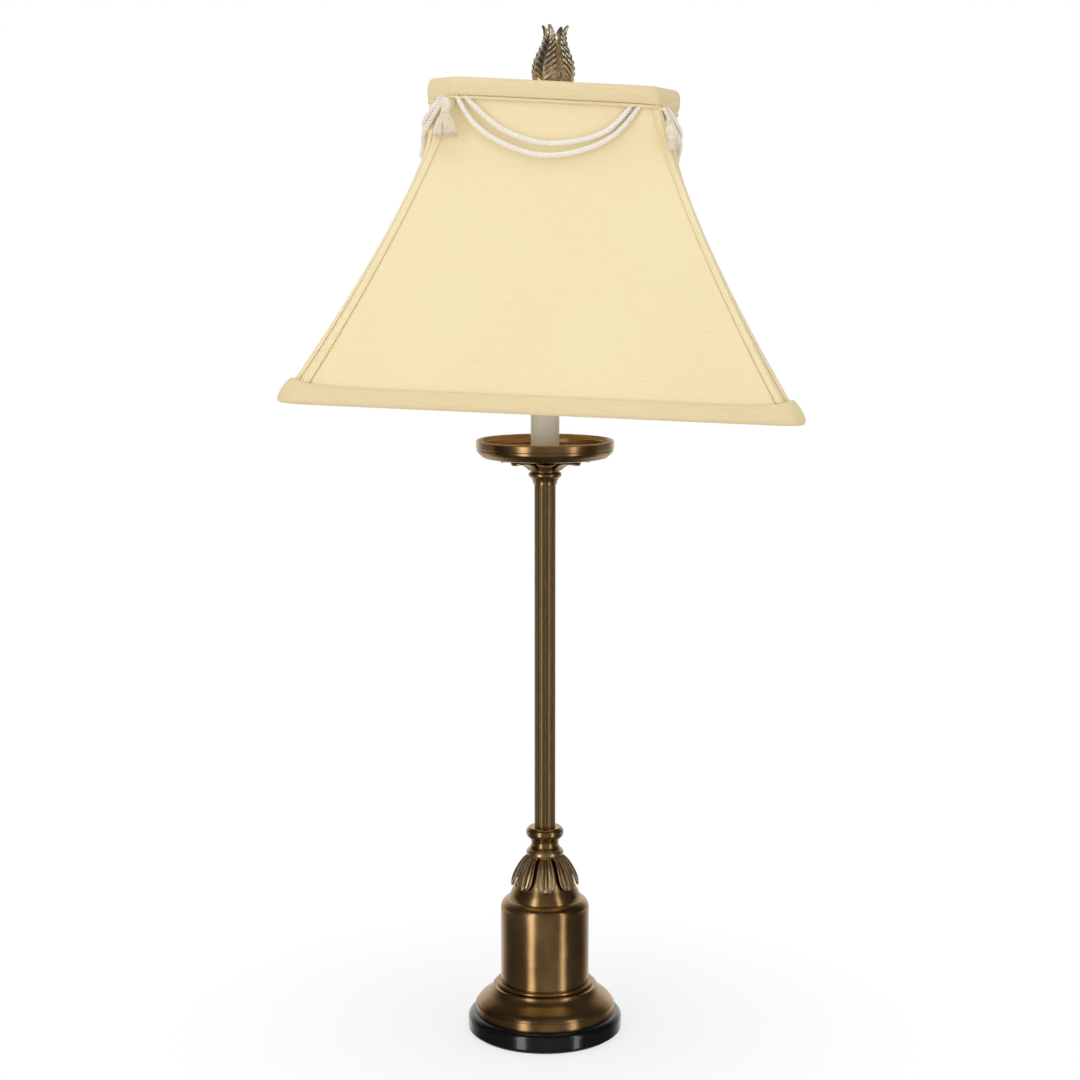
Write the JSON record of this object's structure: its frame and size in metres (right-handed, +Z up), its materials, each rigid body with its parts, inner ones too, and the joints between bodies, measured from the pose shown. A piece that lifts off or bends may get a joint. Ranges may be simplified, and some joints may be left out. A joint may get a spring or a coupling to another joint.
{
  "type": "candlestick table lamp",
  "caption": "Candlestick table lamp with a weighted turned base, fluted brass column, drip pan and a cut-corner silk bell shade with rope swags and tassels.",
  "frame": {"origin": "centre of the underside of the felt pad, on the surface the lamp stands on", "axes": "+Z up along the column; +X along the long side of the shade, to the right seen from the front; the front faces -Y"},
  "size_m": [0.3785, 0.26, 0.788],
  "materials": {
    "antique_brass": "brushed, antiqued",
    "socket_brass": "satin",
    "contact_brass": "bright",
    "black_enamel": "gloss",
    "felt": "felt",
    "weight_iron": "rough",
    "zinc_steel": "zinc plated",
    "black_plastic": "gloss",
    "ivory_sleeve": "satin",
    "liner_board": "pressed board",
    "shell_aluminium": "satin",
    "bulb_glass": "clear to frosted",
    "shade_silk": "silk, fine weave",
    "trim_silk": "silk, folded",
    "ivory_rope": "twisted cord",
    "ivory_tassel": "cut yarn",
    "frame_wire": "white coated",
    "frame_brass": "satin"
  },
  "bodies": {
    "stand": {"felt_pad": "felt", "plinth": "black_enamel", "cord_bushing": "black_plastic", "base_weight": "weight_iron", "foot_flange": "antique_brass", "drum": "antique_brass", "shoulder_cone": "antique_brass", "leaf_collar": "antique_brass", "column_collar": "antique_brass", "column": "antique_brass", "lamp_pipe": "zinc_steel", "base_washer": "zinc_steel", "base_nut": "zinc_steel", "cup_neck": "antique_brass", "leaf_cup": "antique_brass", "drip_pan": "antique_brass", "candle_seat": "antique_brass", "candle_sleeve": "ivory_sleeve", "sleeve_cap": "antique_brass", "harp_saddle": "antique_brass", "harp_bow": "antique_brass", "harp_seat": "antique_brass", "socket_cap": "socket_brass", "socket_shell": "socket_brass", "socket_liner": "liner_board", "socket_core": "black_plastic", "screw_shell": "shell_aluminium", "centre_contact": "contact_brass"},
    "shade": {"shade_panel_front": "shade_silk", "shade_panel_back": "shade_silk", "shade_panel_left": "shade_silk", "shade_panel_right": "shade_silk", "top_band": "trim_silk", "top_piping": "trim_silk", "bottom_band": "trim_silk", "corner_trims": "trim_silk", "shade_ring_top": "frame_wire", "shade_ring_bottom": "frame_wire", "shade_ribs": "frame_wire", "shade_spider": "frame_brass", "swag_front": "ivory_rope", "swag_back": "ivory_rope", "swag_left": "ivory_rope", "swag_right": "ivory_rope", "corner_panel_front_left": "shade_silk", "corner_panel_front_right": "shade_silk", "corner_panel_back_left": "shade_silk", "corner_panel_back_right": "shade_silk"},
    "bulb": {"bulb_glass": "bulb_glass", "bulb_cap": "shell_aluminium"},
    "switch": {"switch_knob": "black_plastic"},
    "finial": {"finial": "antique_brass"},
    "sleeve_left": {"harp_sleeve_left": "antique_brass"},
    "sleeve_right": {"harp_sleeve_right": "antique_brass"},
    "tassel_front_left": {"tassel_front_left": "ivory_tassel"},
    "tassel_front_right": {"tassel_front_right": "ivory_tassel"},
    "tassel_back_left": {"tassel_back_left": "ivory_tassel"},
    "tassel_back_right": {"tassel_back_right": "ivory_tassel"}
  },
  "joints": [
    {"name": "switch_turn", "type": "hinge", "parent": "stand", "child": "switch", "pos_m": [0, -0.03, 0.5634], "axis": [0, -1, 0], "continuous": true},
    {"name": "bulb_turn", "type": "hinge", "parent": "stand", "child": "bulb", "pos_m": [0, 0, 0.5744], "axis": [0, 0, 1], "continuous": true},
    {"name": "shade_turn", "type": "hinge", "parent": "stand", "child": "shade", "pos_m": [0.00472, 0, 0.72304], "axis": [0.0471, 0, 0.9989], "continuous": true},
    {"name": "finial_turn", "type": "hinge", "parent": "stand", "child": "finial", "pos_m": [0.00472, 0, 0.72304], "axis": [0.0471, 0, 0.9989], "continuous": true},
    {"name": "sleeve_left_slide", "type": "slide", "parent": "stand", "child": "sleeve_left", "axis": [0.0262, 0, 0.9997], "range_m": [0, 0.012]},
    {"name": "sleeve_right_slide", "type": "slide", "parent": "stand", "child": "sleeve_right", "axis": [0.0262, 0, 0.9997], "range_m": [0, 0.012]},
    {"name": "tassel_front_left_swing", "type": "hinge", "parent": "shade", "child": "tassel_front_left", "pos_m": [-0.07157, -0.06581, 0.72944], "axis": [-0.9229, 0.3827, 0.0435], "range_deg": [0, 60]},
    {"name": "tassel_front_right_swing", "type": "hinge", "parent": "shade", "child": "tassel_front_right", "pos_m": [0.08127, -0.06581, 0.72223], "axis": [-0.9229, -0.3827, 0.0435], "range_deg": [0, 60]},
    {"name": "tassel_back_left_swing", "type": "hinge", "parent": "shade", "child": "tassel_back_left", "pos_m": [-0.07157, 0.06581, 0.72944], "axis": [0.9229, 0.3827, -0.0435], "range_deg": [0, 60]},
    {"name": "tassel_back_right_swing", "type": "hinge", "parent": "shade", "child": "tassel_back_right", "pos_m": [0.08127, 0.06581, 0.72223], "axis": [0.9229, -0.3827, -0.0435], "range_deg": [0, 60]}
  ]
}
